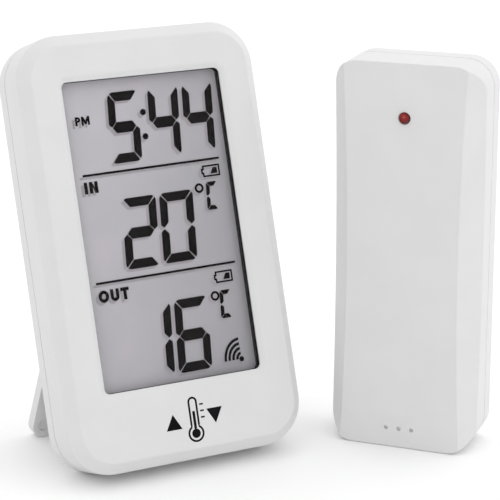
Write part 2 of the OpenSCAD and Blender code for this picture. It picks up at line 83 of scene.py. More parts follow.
FRONT_LOW, FRONT_HIGH = local_box(CONSOLE, "front_case")
LENS_LOW, LENS_HIGH = local_box(CONSOLE, "display_window")
S_FRONT_LOW, S_FRONT_HIGH = local_box(SENSOR, "sensor_front_case")
LED_LOW, LED_HIGH = local_box(SENSOR, "sensor_led")

LED_B = (LED_LOW[2] + LED_HIGH[2]) / 2

CONSOLE_W, CONSOLE_D, CONSOLE_H = 2 * FRONT_HIGH[0], FRONT_HIGH[1], FRONT_HIGH[2]
CONSOLE_R = 11
BEVEL_W, BEVEL_D = 2.8, 2.7
WALL = 1.8               # side walls of both units
LENS_MARGIN = 1.3        # how far the clear window reaches past its opening on each side
WINDOW = [LENS_LOW[0] + LENS_MARGIN, LENS_HIGH[0] - LENS_MARGIN,
          LENS_LOW[2] + LENS_MARGIN, LENS_HIGH[2] - LENS_MARGIN]
WINDOW_R = 1.4
LCD_FACE_C = local_box(CONSOLE, "lcd_panel")[1][1]


# ---- Materials ----

def new_material(name):
    material = bpy.data.materials.new(name)
    material.use_nodes = True
    tree = material.node_tree
    return material, tree, tree.nodes["Principled BSDF"]


def add_node(tree, kind, **inputs):
    made = tree.nodes.new(kind)
    for key, value in inputs.items():
        made.inputs[key].default_value = value
    return made


def grain(tree, scale, detail=3):
    """Noise in object space; scale is in cells per metre."""
    place = tree.nodes.new("ShaderNodeTexCoord")
    noise = add_node(tree, "ShaderNodeTexNoise", Scale=scale, Detail=detail)
    tree.links.new(place.outputs["Object"], noise.inputs["Vector"])
    return noise


def between(tree, factor, low, high):
    """A colour ramp from one grey or colour to another."""
    ramp = tree.nodes.new("ShaderNodeValToRGB")
    ramp.color_ramp.elements[0].color = (*low, 1)
    ramp.color_ramp.elements[1].color = (*high, 1)
    ramp.color_ramp.elements[0].position = 0.35
    ramp.color_ramp.elements[1].position = 0.65
    tree.links.new(factor, ramp.inputs["Fac"])
    return ramp.outputs["Color"]


def calculate(tree, operation, first, second, third=None):
    """A math node's result: first and third are sockets, and second is a number."""
    made = tree.nodes.new("ShaderNodeMath")
    made.operation = operation
    made.inputs[1].default_value = second
    tree.links.new(first, made.inputs[0])
    if third is not None:
        tree.links.new(third, made.inputs[2])
    return made.outputs["Value"]


def map_range(tree, value, **limits):
    """A value mapped from one range to another; limits left out stay 0 and 1."""
    made = tree.nodes.new("ShaderNodeMapRange")
    for key, limit in limits.items():
        made.inputs[key.replace("_", " ").title()].default_value = limit
    tree.links.new(value, made.inputs["Value"])
    return made.outputs["Result"]


def add_bump(tree, shader, height, strength, distance):
    bump = add_node(tree, "ShaderNodeBump", Strength=strength, Distance=distance)
    tree.links.new(height, bump.inputs["Height"])
    tree.links.new(bump.outputs["Normal"], shader.inputs["Normal"])


def plastic(name, colour, roughness, bump=0.12, spread=0.008, coat=0.0, level=0.5):
    """Moulded plastic: faint mottling, uneven gloss and a fine spark-eroded grain."""
    material, tree, shader = new_material(name)
    mottle = grain(tree, 90, 2)
    low = [max(v - spread, 0) for v in colour]
    high = [min(v + spread, 1) for v in colour]
    tree.links.new(between(tree, mottle.outputs["Fac"], low, high), shader.inputs["Base Color"])
    sheen = map_range(tree, mottle.outputs["Fac"], to_min=roughness - 0.05, to_max=roughness + 0.05)
    tree.links.new(sheen, shader.inputs["Roughness"])
    shader.inputs["IOR"].default_value = 1.5
    shader.inputs["Coat Weight"].default_value = coat
    shader.inputs["Specular IOR Level"].default_value = level
    add_bump(tree, shader, grain(tree, 4200, 2).outputs["Fac"], bump, 0.00004)
    return material


def metal(name, colour, roughness):
    """Plated metal with fine streaks."""
    material, tree, shader = new_material(name)
    streaks = grain(tree, 1500, 4)
    low = [v * 0.85 for v in colour]
    tree.links.new(between(tree, streaks.outputs["Fac"], low, colour), shader.inputs["Base Color"])
    shader.inputs["Metallic"].default_value = 1
    shader.inputs["Roughness"].default_value = roughness
    add_bump(tree, shader, streaks.outputs["Fac"], 0.1, 0.00003)
    return material


def clear_sheet(name):
    """Clear acrylic: see-through, mirroring more the more edge-on it is seen, with a trace of haze."""
    material, tree, shader = new_material(name)
    tree.nodes.remove(shader)
    through = tree.nodes.new("ShaderNodeBsdfTransparent")
    gloss = add_node(tree, "ShaderNodeBsdfGlossy", Roughness=0.04)
    edge_on = tree.nodes.new("ShaderNodeLayerWeight")
    power = calculate(tree, "POWER", edge_on.outputs["Facing"], 5)
    share = map_range(tree, power, to_min=0.004, to_max=0.6)
    haze = grain(tree, 60, 2)
    tint = between(tree, haze.outputs["Fac"], (0.985, 0.99, 0.99), (1, 1, 1))
    mix = tree.nodes.new("ShaderNodeMixShader")
    tree.links.new(tint, through.inputs["Color"])
    tree.links.new(share, mix.inputs["Fac"])
    tree.links.new(through.outputs["BSDF"], mix.inputs[1])
    tree.links.new(gloss.outputs["BSDF"], mix.inputs[2])
    tree.links.new(mix.outputs["Shader"], tree.nodes["Material Output"].inputs["Surface"])
    return material


def lcd_material():
    """Grey reflective polariser with painted light and shade: lighter at the upper left and darker to the right
    and lower down, with a faint mother-of-pearl mottling.
    """
    material, tree, shader = new_material("lcd_reflector")
    place = tree.nodes.new("ShaderNodeTexCoord")
    split = tree.nodes.new("ShaderNodeSeparateXYZ")
    tree.links.new(place.outputs["Object"], split.inputs["Vector"])
    # Painted light and shade: the grey darkens to the right and lower down, 2.9 times faster across than down.
    down = calculate(tree, "MULTIPLY", split.outputs["Z"], -1)
    painted_shade_slope = calculate(tree, "MULTIPLY_ADD", split.outputs["X"], 2.9, down)
    painted_shade_share = map_range(tree, painted_shade_slope, from_min=-0.14, from_max=0.02)
    shade = tree.nodes.new("ShaderNodeMix")
    shade.data_type = "RGBA"
    # A is the painted light at the upper left, B the painted shade at the lower right.
    shade.inputs["A"].default_value = (0.515, 0.492, 0.525, 1)
    shade.inputs["B"].default_value = (0.352, 0.338, 0.36, 1)
    tree.links.new(painted_shade_share, shade.inputs["Factor"])
    pearl = tree.nodes.new("ShaderNodeMix")
    pearl.data_type = "RGBA"
    pearl.blend_type = "MULTIPLY"
    pearl.inputs["Factor"].default_value = 1
    tree.links.new(shade.outputs["Result"], pearl.inputs["A"])
    mottle = grain(tree, 160, 2)
    tint = between(tree, mottle.outputs["Fac"], (0.96, 0.97, 0.965), (1, 0.985, 1))
    tree.links.new(tint, pearl.inputs["B"])
    tree.links.new(pearl.outputs["Result"], shader.inputs["Base Color"])
    shader.inputs["Roughness"].default_value = 0.45
    shader.inputs["Specular IOR Level"].default_value = 0.25
    add_bump(tree, shader, grain(tree, 9000, 1).outputs["Fac"], 0.05, 0.00002)
    return material


def led_material():
    """Red tinted epoxy with a painted highlight: a bright spot near the top of the dome, through the epoxy's red
    to painted shade at the rim.
    """
    material, tree, shader = new_material("red_epoxy")
    # Centre of the painted highlight, a little right of and above the dome's middle, at its front.
    painted_highlight_spot = SENSOR @ Vector((0.15, -LED_HIGH[1], LED_B + 0.7))
    place = tree.nodes.new("ShaderNodeTexCoord")
    away = tree.nodes.new("ShaderNodeVectorMath")
    away.operation = "DISTANCE"
    away.inputs[1].default_value = painted_highlight_spot
    tree.links.new(place.outputs["Object"], away.inputs[0])
    uneven = grain(tree, 900, 2)
    streak = calculate(tree, "MULTIPLY_ADD", uneven.outputs["Fac"], 0.0006, away.outputs["Value"])
    painted_highlight_fade = map_range(tree, streak, from_min=0.0003, from_max=0.0023)
    ramp = tree.nodes.new("ShaderNodeValToRGB")
    # Colours out from the spot: painted highlight, then the epoxy's own red, then painted shade at the rim.
    ramp.color_ramp.elements[0].color = (0.42, 0.1, 0.09, 1)
    ramp.color_ramp.elements[1].color = (0.06, 0.001, 0.001, 1)
    body = ramp.color_ramp.elements.new(0.25)
    body.color = (0.23, 0.002, 0.002, 1)
    tree.links.new(painted_highlight_fade, ramp.inputs["Fac"])
    tree.links.new(ramp.outputs["Color"], shader.inputs["Base Color"])
    shader.inputs["Roughness"].default_value = 0.12
    shader.inputs["Specular IOR Level"].default_value = 0.2
    shader.inputs["Coat Weight"].default_value = 0.3
    shader.inputs["Coat Roughness"].default_value = 0.05
    return material


CASE_WHITE = plastic("case_white", (0.655, 0.655, 0.655), 0.45)
SENSOR_WHITE = plastic("sensor_case_white", (0.67, 0.67, 0.67), 0.5)
BUTTON_WHITE = plastic("button_white_plastic", (0.66, 0.66, 0.66), 0.4)
INNER_WHITE = plastic("inner_white_plastic", (0.7, 0.7, 0.69), 0.6)
BLACK_FOAM = plastic("black_foam", (0.018, 0.018, 0.019), 0.85, bump=0.5, spread=0.004)
RUBBER = plastic("contact_rubber_layers", (0.1, 0.1, 0.1), 0.7, spread=0.03)
SOLDER_MASK = plastic("green_solder_mask", (0.02, 0.16, 0.07), 0.35, spread=0.01)
RESIN = plastic("black_resin_cast", (0.012, 0.012, 0.012), 0.3, spread=0.004)
SWITCH_BLACK = plastic("switch_black", (0.03, 0.03, 0.032), 0.5, spread=0.006)
BEAD = plastic("probe_bead_coat", (0.02, 0.07, 0.05), 0.3, spread=0.01)
JACKET = plastic("battery_jacket_print", (0.05, 0.08, 0.12), 0.3, spread=0.01, coat=0.4)
STEEL = metal("zinc_steel", (0.62, 0.62, 0.6), 0.35)
SPRING_STEEL = metal("nickel_wire", (0.7, 0.69, 0.66), 0.22)
CAN_METAL = metal("pressed_can", (0.75, 0.74, 0.72), 0.2)
COPPER = metal("enamelled_copper", (0.75, 0.33, 0.14), 0.3)
CLEAR = clear_sheet("clear_acrylic")
LCD_GREY = lcd_material()
LED_RED = led_material()
INK = plastic("lcd_ink", (0.005, 0.0038, 0.004), 0.5, bump=0.02, spread=0.002, level=0.05)
# Mid grey for copies of the display's shapes laid under them: painted shadow on the reflector.
PAINTED_SHADOW_GREY = plastic("lcd_painted_shadow", (0.33, 0.305, 0.33), 0.5, bump=0.02, spread=0.008, level=0.2)
PRINT = plastic("printed_black", (0.006, 0.005, 0.006), 0.5, bump=0.03, spread=0.002, level=0.05)

NODE_MATERIAL = {
    CASE_WHITE: ["front_case", "rear_case", "battery_door", "stand"],
    SENSOR_WHITE: ["sensor_front_case", "sensor_rear_case", "sensor_door"],
    BUTTON_WHITE: ["memory_button", "clock_button", "unit_button", "channel_button",
                   "sensor_link_button"],
    INNER_WHITE: ["lcd_holder"],
    BLACK_FOAM: ["lcd_gasket"],
    RUBBER: ["zebra_strip"],
    SOLDER_MASK: ["main_board", "receiver_module", "sensor_board", "sensor_transmitter"],
    RESIN: ["chip_blob", "sensor_chip"],
    SWITCH_BLACK: ["button_switches", "sensor_switches", "sensor_channel_knob"],
    BEAD: ["indoor_probe", "sensor_probe"],
    JACKET: ["batteries", "sensor_batteries"],
    STEEL: ["board_screws", "case_screws", "sensor_board_screws", "sensor_case_screws"],
    SPRING_STEEL: ["battery_springs", "battery_plates", "sensor_springs", "sensor_plates"],
    CAN_METAL: ["clock_crystal", "sensor_crystal"],
    COPPER: ["receiver_antenna", "sensor_antenna"],
    CLEAR: ["display_window"],
    LCD_GREY: ["lcd_panel"],
    LED_RED: ["sensor_led"],
}


# Rounding of each CAD node's edges that show, in millimetres.
EDGE_WIDTHS = {
    "rear_case": 0.18, "stand": 0.45, "battery_door": 0.3,
    "sensor_rear_case": 0.35, "sensor_door": 0.25,
    "memory_button": 0.35, "clock_button": 0.35, "unit_button": 0.35, "channel_button": 0.35,
    "sensor_link_button": 0.2, "sensor_channel_knob": 0.15,
}


# ---- Mesh helpers ----

def paint(piece, material):
    piece.data.materials.clear()
    piece.data.materials.append(material)
    return piece


def link_mesh(name, unit, points, faces, material):
    """A new mesh object from points in a unit's millimetres, placed in the row frame."""
    mesh = bpy.data.meshes.new(name)
    mesh.from_pydata([unit @ Vector(p) for p in points], [], faces)
    mesh.update()
    piece = bpy.data.objects.new(name, mesh)
    bpy.context.scene.collection.objects.link(piece)
    return paint(piece, material)


def open_mesh(piece):
    """A piece's mesh as an editable copy."""
    work = bmesh.new()
    work.from_mesh(piece.data)
    return work


def close_mesh(work, piece):
    """Writes an edited copy back to its piece."""
    work.to_mesh(piece.data)
    work.free()


def tidy_mesh(piece, merge=0.000002):
    """Merges doubled points and turns every face outwards."""
    work = open_mesh(piece)
    bmesh.ops.remove_doubles(work, verts=work.verts, dist=merge)
    bmesh.ops.dissolve_degenerate(work, edges=work.edges, dist=merge)
    bmesh.ops.recalc_face_normals(work, faces=work.faces)
    close_mesh(work, piece)
    return piece


def smooth(piece, angle=35):
    """Smooth shading with sharp edges above an angle, and flat faces kept flat."""
    piece.data.shade_smooth()
    piece.data.set_sharp_from_angle(angle=math.radians(angle))
    normals = piece.modifiers.new("normals", "WEIGHTED_NORMAL")
    normals.keep_sharp = True
    return piece


def soften(name, width, angle=35):
    """Rounds the edges of a CAD node with modifiers only."""
    piece = NODES[name]
    weld = piece.modifiers.new("weld", "WELD")
    weld.merge_threshold = 0.00001
    bevel = piece.modifiers.new("edges", "BEVEL")
    bevel.width = width * MM
    bevel.segments = 2
    bevel.limit_method = "ANGLE"
    bevel.angle_limit = math.radians(angle)
    bevel.use_clamp_overlap = True
    normals = piece.modifiers.new("normals", "WEIGHTED_NORMAL")
    normals.keep_sharp = False
    return piece


def bake_modifiers(piece):
    """Replaces a new piece's mesh by what its modifiers make of it."""
    graph = bpy.context.evaluated_depsgraph_get()
    made = bpy.data.meshes.new_from_object(piece.evaluated_get(graph))
    piece.modifiers.clear()
    piece.data = made
    return piece


def rounded_ring(x0, x1, b0, b1, r, c, steps=10):
    """Points round a rounded rectangle at depth c, from its lower right corner."""
    centres = ((x1 - r, b0 + r), (x1 - r, b1 - r), (x0 + r, b1 - r), (x0 + r, b0 + r))
    ring = []
    for quarter, (x, b) in enumerate(centres):
        for i in range(steps + 1):
            a = math.radians(90 * (quarter - 1 + i / steps))
            ring.append((x + r * math.cos(a), -c, b + r * math.sin(a)))
    return ring


def fillet(points, radii, steps=6):
    """An open 2D polyline with each inner corner rounded by its radius."""
    path = [Vector(points[0])]
    for before, corner, after, r in zip(points, points[1:], points[2:], radii):
        corner = Vector(corner)
        u = (Vector(before) - corner).normalized()
        v = (Vector(after) - corner).normalized()
        half = u.angle(v) / 2
        centre = corner + (u + v).normalized() * (r / math.sin(half))
        start = corner + u * (r / math.tan(half)) - centre
        end = corner + v * (r / math.tan(half)) - centre
        path += [centre + start.slerp(end, i / steps) * r for i in range(steps + 1)]
    return path + [Vector(points[-1])]


def loft(rings, closed):
    """Points and quads of rings of equal length; the last joins the first when closed."""
    n = len(rings[0])
    spans = len(rings) if closed else len(rings) - 1
    faces = []
    for k in range(spans):
        a, b = k * n, (k + 1) % len(rings) * n
        faces += [(a + i, a + (i + 1) % n, b + (i + 1) % n, b + i) for i in range(n)]
    return [p for ring in rings for p in ring], faces


# ---- Console front shell ----

def console_front():
    """The bevelled front with its window: one closed shell, outside, lip, rebate and inside."""
    seam, face_in = FRONT_LOW[1], CONSOLE_D - 2
    lip_w, lip_d, lip_c = 1.3, 0.7, LENS_HIGH[1]
    rebate = LENS_MARGIN + 0.1

    def outline(inset, c):
        half = CONSOLE_W / 2 - inset
        return rounded_ring(-half, half, inset, CONSOLE_H - inset, CONSOLE_R - inset, c)

    def window(margin, c):
        x0, x1, b0, b1 = WINDOW
        return rounded_ring(x0 - margin, x1 + margin, b0 - margin, b1 + margin,
                            WINDOW_R + margin, c)

    outer = fillet([(0.1, seam), (0, seam + 0.1), (0, CONSOLE_D - BEVEL_D),
                    (BEVEL_W, CONSOLE_D), (BEVEL_W + 3, CONSOLE_D)], [0.05, 0.9, 0.9])
    lip = fillet([(lip_w + 1, CONSOLE_D), (lip_w, CONSOLE_D), (0, CONSOLE_D - lip_d),
                  (0, lip_c)], [2, 0.2])
    rings = [outline(p.x, p.y) for p in outer]
    rings += [window(p.x, p.y) for p in lip]
    rings += [window(rebate, lip_c), window(rebate, face_in)]
    rings += [outline(WALL, face_in), outline(WALL, seam)]
    piece = link_mesh("console_front_shell", CONSOLE, *loft(rings, True), CASE_WHITE)
    tidy_mesh(piece)
    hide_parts("front_case")
    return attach(smooth(piece), "console")


# ---- Sensor front shell ----

# A side chamfer's width and depth halfway up, and how much it narrows at the ends.
WAIST_IN, WAIST_D, WAIST_SAG = 4.8, 5.9, 1.09
SENSOR_R = 7
SENSOR_EDGE = 0.25       # rounding of its edges
SEAM_WEIGHT = 0.4        # share of that rounding along the parting line
FLAT_ANGLE = 0.05        # degrees: faces that turn by less are joined
EDGE_ANGLE = 20          # degrees: edges that turn by more are rounded
VENT_B, VENT_STEP, VENT_R, VENT_DEPTH = 5.05, 3.35, 0.55, 0.6
LED_HOLE_R = 1.55
HOLLOW_R = 3             # corners of the hollow, which is wide at the rear and narrow in front
WIDE_END_C, NARROW_START_C = 9.8, 9
NARROW_HALF = 13.5
OVERCUT = 2              # how far a cutter stands out of the face


def cutter(name, points, faces):
    return tidy_mesh(link_mesh(name, SENSOR, points, faces, SENSOR_WHITE))


def round_cutter(name, x, b, r, c0, c1, steps=28):
    rings = []
    for c in (c0, c1):
        turns = [2 * math.pi * i / steps for i in range(steps)]
        rings.append([(x + r * math.cos(a), -c, b + r * math.sin(a)) for a in turns])
    points, faces = loft(rings, False)
    return cutter(name, points, faces + [tuple(range(steps)), tuple(range(steps, 2 * steps))])


def box_cutter(name, half, b0, b1, c0, c1, r):
    rings = [rounded_ring(-half, half, b0, b1, r, c, 4) for c in (c0, c1)]
    points, faces = loft(rings, False)
    n = len(rings[0])
    return cutter(name, points, faces + [tuple(range(n)), tuple(range(n, 2 * n))])


def sensor_slice(b, width, height, depth, seam):
    """Cross-section of the sensor's front at height b: walls, waisted side chamfers and face."""
    edge = min(b, height - b)
    dip = max(SENSOR_R - edge, 0)
    half = width / 2 - SENSOR_R + math.sqrt(SENSOR_R ** 2 - dip ** 2)
    run = math.hypot(WAIST_IN, WAIST_D)
    sag = WAIST_SAG * ((b - height / 2) / (height / 2)) ** 2
    inset = WAIST_IN - sag * run / WAIST_D
    drop = WAIST_D - sag * run / WAIST_IN
    crease = min(half, width / 2 - inset)
    wall_c = min(depth, depth - drop + (width / 2 - half) / inset * drop)
    right = [(crease, depth), (half, wall_c), (half, seam)]
    left = [(-x, c) for x, c in reversed(right)]
    return [(x, -c, b) for x, c in left + right]


def sensor_front():
    """The sensor's front: waisted chamfers down both sides, rounded edges, vents and LED hole."""
    seam, depth = S_FRONT_LOW[1], S_FRONT_HIGH[1]
    width, height = 2 * S_FRONT_HIGH[0], S_FRONT_HIGH[2]
    arc = [SENSOR_R * (1 - math.cos(math.radians(a))) for a in range(0, 90, 9)]
    middle = [SENSOR_R + (height - 2 * SENSOR_R) * i / 20 for i in range(21)]
    heights = arc + middle + [height - b for b in reversed(arc)]
    rings = [sensor_slice(b, width, height, depth, seam) for b in heights]
    points, faces = loft(rings, False)
    n, last = len(rings[0]), len(points)
    faces += [tuple(range(n)), tuple(range(last - n, last))]
    piece = link_mesh("sensor_front_shell", SENSOR, points, faces, SENSOR_WHITE)
    tidy_mesh(piece)
    work = open_mesh(piece)
    flat = [e for e in work.edges if e.is_manifold and e.calc_face_angle() < math.radians(FLAT_ANGLE)]
    bmesh.ops.dissolve_edges(work, edges=flat, use_verts=False)
    weight = work.edges.layers.float.new("bevel_weight_edge")
    rear_plane = -seam
    back = SENSOR.inverted()
    for e in work.edges:
        if len(e.link_faces) != 2 or e.calc_face_angle() < math.radians(EDGE_ANGLE):
            continue
        at_seam = all(abs((back @ v.co).y - rear_plane) < 0.01 for v in e.verts)
        e[weight] = SEAM_WEIGHT if at_seam else 1
    close_mesh(work, piece)
    bevel = piece.modifiers.new("edges", "BEVEL")
    bevel.width = SENSOR_EDGE * MM
    bevel.segments = 3
    bevel.limit_method = "WEIGHT"
    bevel.use_clamp_overlap = True
    cutters = [
        box_cutter("cut_a", width / 2 - WALL, WALL, height - WALL, seam - 1, WIDE_END_C, HOLLOW_R),
        box_cutter("cut_b", NARROW_HALF, WALL, height - WALL, NARROW_START_C, depth - WALL, HOLLOW_R),
        round_cutter("cut_led", 0, LED_B, LED_HOLE_R, depth - 4, depth + OVERCUT),
    ]
    cutters += [round_cutter(f"cut_vent_{i}", i * VENT_STEP, VENT_B, VENT_R,
                             depth - VENT_DEPTH, depth + OVERCUT)
                for i in (-1, 0, 1)]
    for tool in cutters:
        cut = piece.modifiers.new(tool.name, "BOOLEAN")
        cut.operation = "DIFFERENCE"
        cut.solver = "EXACT"
        cut.object = tool
    bake_modifiers(piece)
    for tool in cutters:
        bpy.data.objects.remove(tool)
    tidy_mesh(piece)
    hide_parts("sensor_front_case")
    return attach(smooth(piece, 30), "sensor")


# ---- Display content ----
# Positions are (u, v) in millimetres on the LCD: u across from the console's middle, v up the face.

LCD_TILT = 0.0125        # the cell sits very slightly turned in its window
LCD_PIVOT_B = 57
LCD_SHIFT = 0.69
SLANT = 0.084            # italic lean of the digits
# The painted shadow copies sit this far from the dark shapes, in millimetres.
PAINTED_SHADOW_SHIFT = (-0.8, -0.6)
SHADOW_LIFT, INK_LIFT, LAYER_THICK = 0.02, 0.05, 0.02
SEGMENTS = {"0": "abcdef", "1": "bc", "2": "abged", "4": "fgbc", "5": "afgcd",
            "6": "afgedc", "C": "afed"}


def flip_x(shape):
    """The outline mirrored left to right."""
    return [(-u, v) for u, v in reversed(shape)]


def flip_y(shape):
    """The outline mirrored top to bottom."""
    return [(u, -v) for u, v in reversed(shape)]


def segment_shapes(width, height, bar, wide, split):
    """Seven segment outlines round the cell's middle: pointed ends and thin gaps between them."""
    x, y = width / 2, height / 2
    g = split / 2
    mid = bar * 0.59
    tip = bar * 0.42
    top = [(-x + tip * 1.1 + g, y), (x - tip * 1.1 - g, y), (x - tip * 0.4 - g, y - tip * 0.3),
           (x - wide - g * 0.4, y - bar), (-x + wide + g * 0.4, y - bar),
           (-x + tip * 0.4 + g, y - tip * 0.3)]
    side = [(x - wide, y - bar - g), (x - tip * 0.35, y - tip * 0.4 - g), (x, y - tip * 1.15 - g),
            (x, mid * 0.55 + g), (x - wide * 0.42, g), (x - wide, mid + g * 0.6)]
    middle = [(-x + wide * 0.42 + g, 0), (-x + wide + g * 0.2, mid), (x - wide - g * 0.2, mid),
              (x - wide * 0.42 - g, 0), (x - wide - g * 0.2, -mid), (-x + wide + g * 0.2, -mid)]
    return {"a": top, "b": side, "c": flip_y(side), "d": flip_y(top), "e": flip_y(flip_x(side)),
            "f": flip_x(side), "g": middle}


def digit(character, u, v, width, height, bar, wide, split=0.3):
    """The outlines of one character centred at (u, v), leaning to the right."""
    shapes = segment_shapes(width, height, bar, wide, split)
    return [[(u + x + SLANT * y, v + y) for x, y in shapes[s]] for s in SEGMENTS[character]]


def disc(u, v, r, steps=20):
    return [(u + r * math.cos(2 * math.pi * i / steps), v + r * math.sin(2 * math.pi * i / steps))
            for i in range(steps)]


def bar_shape(u0, v0, u1, v1):
    return [(u0, v0), (u1, v0), (u1, v1), (u0, v1)]


def arc_band(u, v, ru, rv, start, end, width, steps=16):
    """A curved stroke of even width round (u, v), with square ends."""
    turns = [math.radians(start + (end - start) * i / steps) for i in range(steps + 1)]
    outer = [(u + (ru + width / 2) * math.cos(a), v + (rv + width / 2) * math.sin(a)) for a in turns]
    inner = [(u + (ru - width / 2) * math.cos(a), v + (rv - width / 2) * math.sin(a)) for a in turns]
    return [[outer[i], outer[i + 1], inner[i + 1], inner[i]] for i in range(steps)]


def battery_icon(u, v, width=5.1, height=2.95, line=0.42):
    """A battery outline lying on its side, nearly empty."""
    nub, nub_h = 0.38, 1.4
    x0, x1, y0, y1 = u - width / 2 + nub, u + width / 2, v - height / 2, v + height / 2
    n0, n1, n = v - nub_h / 2, v + nub_h / 2, x0 - nub
    level_w, level_h, lean = 1.9, 1.5, 0.8
    lx, ly = x1 - 0.75, v - level_h / 2
    return [bar_shape(x0, y1 - line, x1, y1), bar_shape(x0, y0, x1, y0 + line),
            bar_shape(x1 - line, y0 + line, x1, y1 - line),
            bar_shape(x0, n1, x0 + line, y1 - line), bar_shape(x0, y0 + line, x0 + line, n0),
            bar_shape(n, n0, n + line, n1), bar_shape(n + line, n1 - line, x0 + line, n1),
            bar_shape(n + line, n0, x0 + line, n0 + line),
            [(lx - level_w, ly), (lx, ly), (lx, ly + level_h), (lx - level_w + lean, ly + level_h)]]


def signal_icon(u, v):
    """A dot with four growing arcs towards its upper left."""
    shapes = [disc(u, v, 0.66)]
    for k in range(1, 5):
        shapes += arc_band(u, v, 0.1 + 1.07 * k, 0.23 + 1.22 * k, 92, 180, 0.7)
    return shapes


def display_shapes():
    """Every dark shape of the display: clock, indoor row, outdoor row, rules and icons."""
    clock, row_in, row_out = 83.37, 57.3, 30.4
    shapes = []
    for character, u in (("5", -5.51), ("4", 5.23), ("4", 14.53)):
        shapes += digit(character, u, clock, 8.15, 17.4, 2.3, 1.95)
    shapes += [disc(-0.1, 86.4, 0.78), disc(-0.4, 80.4, 0.78)]
    for character, u in (("2", -5.45), ("0", 4.6)):
        shapes += digit(character, u, row_in, 9.15, 17.35, 2.28, 2.1)
    for character, u in (("1", -6.02), ("6", 4.13)):
        shapes += digit(character, u, row_out, 9.15, 18.05, 2.35, 2.1)
    for u, v in ((15.0, 63.65), (14.2, 36.45)):
        shapes += digit("C", u, v, 3.1, 7.0, 1.1, 1.0, 0.14)
    for u, v in ((11.77, 65.9), (11.6, 38.8)):
        shapes += arc_band(u, v, 0.93, 0.93, 0, 360, 0.58, 28)
    shapes += [bar_shape(-18.35, 72.47, 18.4, 73.02), bar_shape(-19.2, 46.17, 18.43, 46.72)]
    shapes += battery_icon(15.55, 69.85) + battery_icon(14.6, 43.3)
    shapes += signal_icon(16.2, 22.2)
    shapes += word("PM", -18.1, 84.95, 3.75, 2.15, 0.24, 0.12)
    shapes += word("IN", -18.4, 68.3, 3.6, 2.85, 0.3, 0.16)
    shapes += word("OUT", -19.05, 41.65, 8.1, 3.0, 0.28, 0.14)
    return shapes


def on_lcd(u, v, lift):
    """A point of the display's content in the console's frame, lift above the LCD's face."""
    x = u + LCD_SHIFT - LCD_TILT * (v - LCD_PIVOT_B)
    return (x, -(LCD_FACE_C + lift), v + LCD_TILT * u)


def flat_shapes(name, shapes, place, lift, thick, shift, material):
    """Thin prisms over 2D outlines, laid on a surface by the place function."""
    points, faces = [], []
    for shape in shapes:
        shape = [(u + shift[0], v + shift[1]) for u, v in shape]
        n, start = len(shape), len(points)
        for level in (lift, lift + thick):
            points += [place(u, v, level) for u, v in shape]
        faces.append(tuple(range(start, start + n)))
        faces.append(tuple(range(start + n, start + 2 * n)))
        faces += [(start + i, start + (i + 1) % n, start + n + (i + 1) % n, start + n + i)
                  for i in range(n)]
    piece = link_mesh(name, CONSOLE, points, faces, material)
    work = open_mesh(piece)
    bmesh.ops.recalc_face_normals(work, faces=work.faces)
    close_mesh(work, piece)
    return piece


LETTER_WIDTHS = {"I": 0.3, "N": 0.78, "O": 0.9, "U": 0.76, "T": 0.74, "P": 0.62, "M": 0.98}


def letter(character, stroke):
    """Bold sans strokes of one letter, one unit high, as outlines that only touch each other."""
    w, t = LETTER_WIDTHS[character], stroke
    stem = bar_shape(0, 0, t, 1)
    if character == "I":
        return [stem]
    if character == "N":
        return [stem, bar_shape(w - t, 0, w, 1), [(t, 1), (t, 1 - t * 1.5), (w - t, 0), (w - t, t * 1.5)]]
    if character == "T":
        return [bar_shape(0, 1 - t, w, 1), bar_shape((w - t) / 2, 0, (w + t) / 2, 1 - t)]
    if character == "M":
        foot = w / 2 - t * 0.55
        return [stem, bar_shape(w - t, 0, w, 1),
                [(t, 1), (t, 1 - t * 2), (foot, 0.12), (w / 2, 0.12), (w / 2, 0.12 + t * 1.6)],
                [(w - t, 1), (w / 2, 0.12 + t * 1.6), (w / 2, 0.12), (w - foot, 0.12), (w - t, 1 - t * 2)]]
    if character == "O":
        return arc_band(w / 2, 0.5, (w - t) / 2, (1 - t) / 2, 0, 360, t, 28)
    if character == "U":
        r = (w - t) / 2
        return [bar_shape(0, r + t / 2, t, 1), bar_shape(w - t, r + t / 2, w, 1)] + arc_band(
            w / 2, r + t / 2, r, r, 180, 360, t, 14)
    bowl = 0.31
    return [stem, bar_shape(t, 1 - t, w - bowl, 1), bar_shape(t, 1 - 2 * bowl, w - bowl, 1 - 2 * bowl + t)
            ] + arc_band(w - bowl, 1 - bowl, bowl - t / 2, bowl - t / 2, -90, 90, t, 12)


def word(text, u, v, width, height, stroke, space):
    """The strokes of a word fitted into a box whose lower left corner is (u, v)."""
    length = sum(LETTER_WIDTHS[c] for c in text) + space * (len(text) - 1)
    shapes, x = [], 0
    for character in text:
        for shape in letter(character, stroke):
            shapes.append([(u + (x + px) * width / length, v + py * height) for px, py in shape])
        x += LETTER_WIDTHS[character] + space
    return shapes


def display():
    """The LCD's dark content, and under it an offset mid grey copy of each shape as painted shadow on the
    reflector.
    """
    shapes = display_shapes()
    layers = (("shadow", PAINTED_SHADOW_GREY, SHADOW_LIFT, PAINTED_SHADOW_SHIFT), ("ink", INK, INK_LIFT, (0, 0)))
    for kind, material, lift, shift in layers:
        piece = flat_shapes(f"lcd_{kind}", shapes, on_lcd, lift, LAYER_THICK, shift, material)
        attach(piece, "console")


# ---- Printed pictogram under the window ----

PRINT_SUNK = 0.02        # how deep the print sits in the face


def on_face(u, v, lift):
    """A point of the print in the console's frame, lift above the print's underside."""
    return (u, -(CONSOLE_D + lift - PRINT_SUNK), v)


